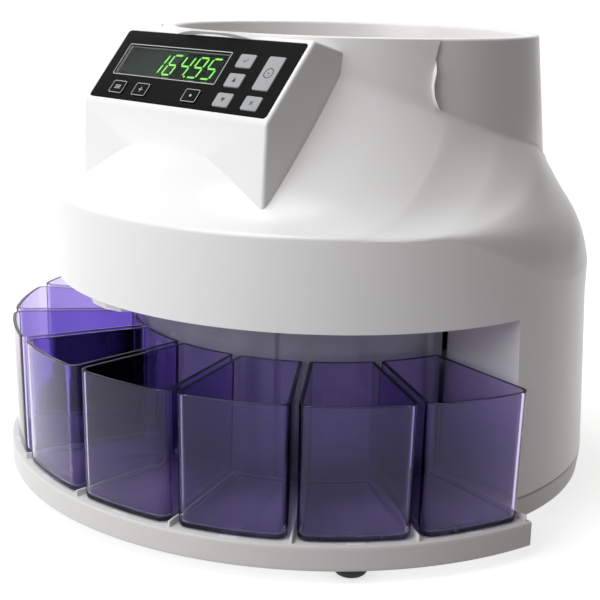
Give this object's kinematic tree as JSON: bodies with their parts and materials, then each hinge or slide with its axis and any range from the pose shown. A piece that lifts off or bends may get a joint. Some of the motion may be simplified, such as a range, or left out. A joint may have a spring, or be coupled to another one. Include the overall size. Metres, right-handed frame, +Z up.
{
  "type": "coin sorting machine",
  "caption": "Desktop coin counter and sorter: round white housing with a hopper mouth, sloping display console and a fan of pull-out clear bins on a half-round base.",
  "frame": {"origin": "middle of the bounding box, on the plane the feet stand on", "axes": "+X to the machine's right seen from the front, +Y to its back, +Z up; the front faces -Y"},
  "size_m": [0.354, 0.3362, 0.2492],
  "materials": {
    "shell": "satin gloss moulded ABS",
    "base": "satin moulded ABS",
    "drum": "satin",
    "bin": "clear tinted styrene",
    "overlay": "fine texture",
    "key_grey": "satin",
    "key_black": "satin",
    "window": "clear",
    "display": "lit segments on dark green",
    "rubber": "matt",
    "black_plastic": "fine grain",
    "board": "solder mask",
    "steel": "brushed",
    "cast_alloy": "cast",
    "brass": "turned",
    "disc": "satin"
  },
  "bodies": {
    "housing": {"base_tray": "base", "base_plate": "black_plastic", "rubber_foot_1": "rubber", "rubber_foot_2": "rubber", "rubber_foot_3": "rubber", "rubber_foot_4": "rubber", "plate_screw_1": "steel", "plate_screw_2": "steel", "plate_screw_3": "steel", "plate_screw_4": "steel", "upper_cover": "shell", "hopper": "shell", "inner_drum": "drum", "sorting_deck": "steel", "coin_chutes": "shell", "coin_rail": "steel", "coin_sensor": "black_plastic", "upper_bearing": "steel", "lower_bearing": "steel", "bearing_block": "cast_alloy", "drive_motor": "cast_alloy", "motor_bracket": "steel", "drive_belt": "rubber", "main_board": "board", "power_supply": "cast_alloy", "port_plate": "black_plastic", "power_inlet": "black_plastic", "switch_housing": "black_plastic", "data_port": "steel", "panel_overlay": "overlay", "display_window": "window", "display_module": "display", "panel_board": "board"},
    "bin_1": {"coin_bin_1": "bin"},
    "bin_2": {"coin_bin_2": "bin"},
    "bin_3": {"coin_bin_3": "bin"},
    "bin_4": {"coin_bin_4": "bin"},
    "bin_5": {"coin_bin_5": "bin"},
    "bin_6": {"coin_bin_6": "bin"},
    "bin_7": {"coin_bin_7": "bin"},
    "bin_8": {"coin_bin_8": "bin"},
    "feed_rotor": {"feed_disc": "disc", "hub_cap": "black_plastic", "spindle": "steel", "spindle_pulley": "black_plastic"},
    "motor_rotor": {"motor_shaft": "steel", "motor_pulley": "brass"},
    "power_rocker": {"power_rocker": "black_plastic"},
    "key_enter": {"key_enter": "key_grey"},
    "key_up": {"key_up": "key_grey"},
    "key_down": {"key_down": "key_grey"},
    "key_start_stop": {"key_start_stop": "key_grey"},
    "key_clear": {"key_clear": "key_grey"},
    "key_report": {"key_report": "key_black"},
    "key_add": {"key_add": "key_black"},
    "key_set": {"key_set": "key_black"}
  },
  "joints": [
    {"name": "bin_1_slide", "type": "slide", "parent": "housing", "child": "bin_1", "axis": [-0.9333, -0.3592, 0], "range_m": [0, 0.08]},
    {"name": "bin_2_slide", "type": "slide", "parent": "housing", "child": "bin_2", "axis": [-0.7576, -0.6528, 0], "range_m": [0, 0.08]},
    {"name": "bin_3_slide", "type": "slide", "parent": "housing", "child": "bin_3", "axis": [-0.4932, -0.8699, 0], "range_m": [0, 0.08]},
    {"name": "bin_4_slide", "type": "slide", "parent": "housing", "child": "bin_4", "axis": [-0.1711, -0.9853, 0], "range_m": [0, 0.08]},
    {"name": "bin_5_slide", "type": "slide", "parent": "housing", "child": "bin_5", "axis": [0.1711, -0.9853, 0], "range_m": [0, 0.08]},
    {"name": "bin_6_slide", "type": "slide", "parent": "housing", "child": "bin_6", "axis": [0.4932, -0.8699, 0], "range_m": [0, 0.08]},
    {"name": "bin_7_slide", "type": "slide", "parent": "housing", "child": "bin_7", "axis": [0.7576, -0.6528, 0], "range_m": [0, 0.08]},
    {"name": "bin_8_slide", "type": "slide", "parent": "housing", "child": "bin_8", "axis": [0.9333, -0.3592, 0], "range_m": [0, 0.08]},
    {"name": "key_enter_press", "type": "slide", "parent": "housing", "child": "key_enter", "axis": [0, 0.766, -0.6428], "range_m": [0, 0.0005], "stiffness_N_per_m": 400, "springref_m": -0.0005},
    {"name": "key_up_press", "type": "slide", "parent": "housing", "child": "key_up", "axis": [0, 0.766, -0.6428], "range_m": [0, 0.0005], "stiffness_N_per_m": 400, "springref_m": -0.0005},
    {"name": "key_down_press", "type": "slide", "parent": "housing", "child": "key_down", "axis": [0, 0.766, -0.6428], "range_m": [0, 0.0005], "stiffness_N_per_m": 400, "springref_m": -0.0005},
    {"name": "key_start_stop_press", "type": "slide", "parent": "housing", "child": "key_start_stop", "axis": [0, 0.766, -0.6428], "range_m": [0, 0.0005], "stiffness_N_per_m": 400, "springref_m": -0.0005},
    {"name": "key_clear_press", "type": "slide", "parent": "housing", "child": "key_clear", "axis": [0, 0.766, -0.6428], "range_m": [0, 0.0005], "stiffness_N_per_m": 400, "springref_m": -0.0005},
    {"name": "key_report_press", "type": "slide", "parent": "housing", "child": "key_report", "axis": [0, 0.766, -0.6428], "range_m": [0, 0.0005], "stiffness_N_per_m": 400, "springref_m": -0.0005},
    {"name": "key_add_press", "type": "slide", "parent": "housing", "child": "key_add", "axis": [0, 0.766, -0.6428], "range_m": [0, 0.0005], "stiffness_N_per_m": 400, "springref_m": -0.0005},
    {"name": "key_set_press", "type": "slide", "parent": "housing", "child": "key_set", "axis": [0, 0.766, -0.6428], "range_m": [0, 0.0005], "stiffness_N_per_m": 400, "springref_m": -0.0005},
    {"name": "feed_disc_spin", "type": "hinge", "parent": "housing", "child": "feed_rotor", "pos_m": [0, 0.03015, 0.12], "axis": [0, 0, 1], "continuous": true},
    {"name": "motor_spin", "type": "hinge", "parent": "housing", "child": "motor_rotor", "pos_m": [0.048, -0.02005, 0.1], "axis": [0, 0, 1], "continuous": true},
    {"name": "power_rocker_tip", "type": "hinge", "parent": "housing", "child": "power_rocker", "pos_m": [0.008, 0.15665, 0.05], "axis": [1, 0, 0], "range_deg": [0, 18]}
  ],
  "couplings": [
    {"joint": "motor_spin", "follows": "feed_disc_spin", "ratio": 3}
  ]
}
